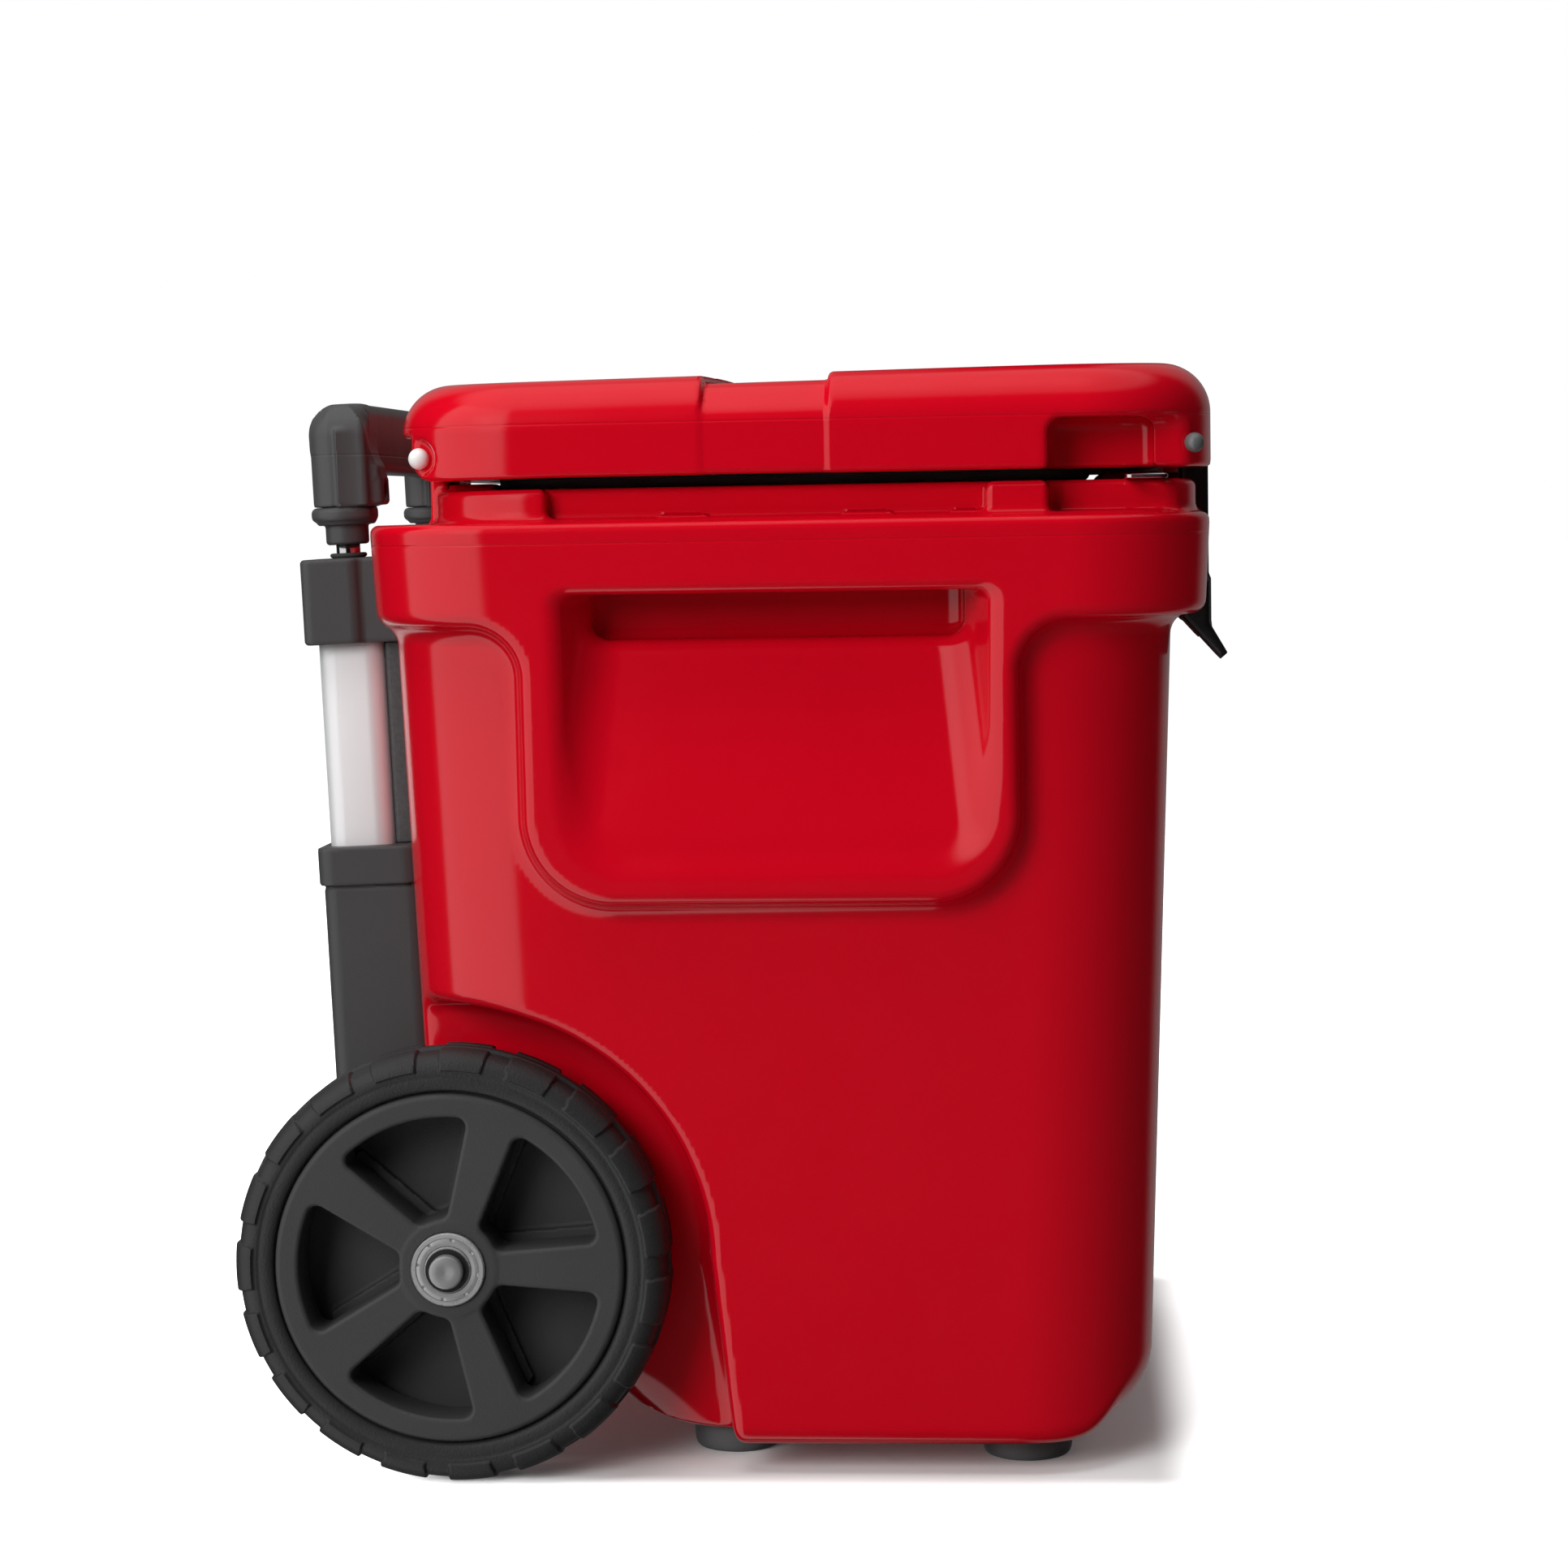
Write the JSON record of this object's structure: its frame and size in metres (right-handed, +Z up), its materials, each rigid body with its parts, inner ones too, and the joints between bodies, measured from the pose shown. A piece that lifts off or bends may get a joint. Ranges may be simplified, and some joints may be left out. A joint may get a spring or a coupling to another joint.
{
  "type": "wheeled cooler chest",
  "caption": "Tall red insulated cooler chest with a hinged, latched lid, side hand holds, rear wheels on a through axle and a two-stage pull-up handle.",
  "frame": {"origin": "on the floor, under the middle of the whole object's bounding box", "axes": "+Z up, -Y towards the latched front, +Y towards the wheels and the pull handle, X from side to side"},
  "size_m": [0.44, 0.4347, 0.481],
  "materials": {
    "red_shell": "high gloss moulded polyethylene",
    "foam_core": "rigid insulation foam",
    "white_liner": "satin moulded plastic",
    "grey_foot": "matte rubber",
    "steel_plate": "brushed",
    "white_pin": "satin",
    "axle_steel": "turned",
    "sleeve_plastic": "matte",
    "black_steel": "black oxide",
    "wheel_plastic": "fine grained matte",
    "tyre_rubber": "grained rubber",
    "bearing_steel": "ground",
    "tube_aluminium": "satin anodised",
    "rod_steel": "polished",
    "black_plastic": "satin grained",
    "glide_plastic": "satin",
    "grip_rubber": "satin soft-touch",
    "gasket_rubber": "matte",
    "grey_pin": "satin",
    "latch_plastic": "satin"
  },
  "bodies": {
    "chest": {"tub_shell": "red_shell", "tub_foam": "foam_core", "tub_liner": "white_liner", "front_feet": "grey_foot", "rear_feet": "grey_foot", "lock_plates": "steel_plate", "hinge_pin_left": "white_pin", "hinge_pin_right": "white_pin", "axle": "axle_steel", "axle_sleeve": "sleeve_plastic", "axle_washers": "sleeve_plastic", "axle_clips": "black_steel", "post_tube_left": "tube_aluminium", "post_tube_right": "tube_aluminium", "post_rail_left": "black_plastic", "post_rail_right": "black_plastic", "upper_bracket_left": "black_plastic", "upper_bracket_right": "black_plastic", "bracket_screws": "black_steel", "handle_base": "black_plastic", "base_screws": "black_steel"},
    "handle_mid": {"mid_tube_left": "tube_aluminium", "mid_tube_right": "tube_aluminium", "mid_caps": "black_plastic", "mid_glides": "glide_plastic"},
    "handle_grip": {"inner_rod_left": "rod_steel", "inner_rod_right": "rod_steel", "rod_glides": "glide_plastic", "grip_socket_left": "black_plastic", "grip_socket_right": "black_plastic", "grip": "grip_rubber", "grip_screws": "black_steel"},
    "lid": {"lid_shell": "red_shell", "lid_foam": "foam_core", "lid_liner": "white_liner", "lid_gasket": "gasket_rubber", "latch_pin_left": "grey_pin", "latch_pin_right": "grey_pin"},
    "latch_left_body": {"latch_left": "latch_plastic"},
    "latch_right_body": {"latch_right": "latch_plastic"},
    "wheel_left_body": {"wheel_rim_left": "wheel_plastic", "tyre_left": "tyre_rubber", "bearings_left": "bearing_steel"},
    "wheel_right_body": {"wheel_rim_right": "wheel_plastic", "tyre_right": "tyre_rubber", "bearings_right": "bearing_steel"}
  },
  "joints": [
    {"name": "lid_hinge", "type": "hinge", "parent": "chest", "child": "lid", "pos_m": [0, 0.1298, 0.444], "axis": [-1, 0, 0], "range_deg": [0, 92]},
    {"name": "latch_left_pivot", "type": "hinge", "parent": "lid", "child": "latch_left_body", "pos_m": [-0.126, -0.2015, 0.4448], "axis": [-1, 0, 0], "range_deg": [0, 85]},
    {"name": "latch_right_pivot", "type": "hinge", "parent": "lid", "child": "latch_right_body", "pos_m": [0.126, -0.2015, 0.4448], "axis": [-1, 0, 0], "range_deg": [0, 85]},
    {"name": "handle_lower_slide", "type": "slide", "parent": "chest", "child": "handle_mid", "axis": [0, 0.034, 0.9994], "range_m": [0, 0.23]},
    {"name": "handle_upper_slide", "type": "slide", "parent": "handle_mid", "child": "handle_grip", "axis": [0, 0.034, 0.9994], "range_m": [0, 0.23]},
    {"name": "wheel_left_spin", "type": "hinge", "parent": "chest", "child": "wheel_left_body", "pos_m": [-0.19, 0.1225, 0.095], "axis": [1, 0, 0], "continuous": true},
    {"name": "wheel_right_spin", "type": "hinge", "parent": "chest", "child": "wheel_right_body", "pos_m": [0.19, 0.1225, 0.095], "axis": [1, 0, 0], "continuous": true}
  ]
}
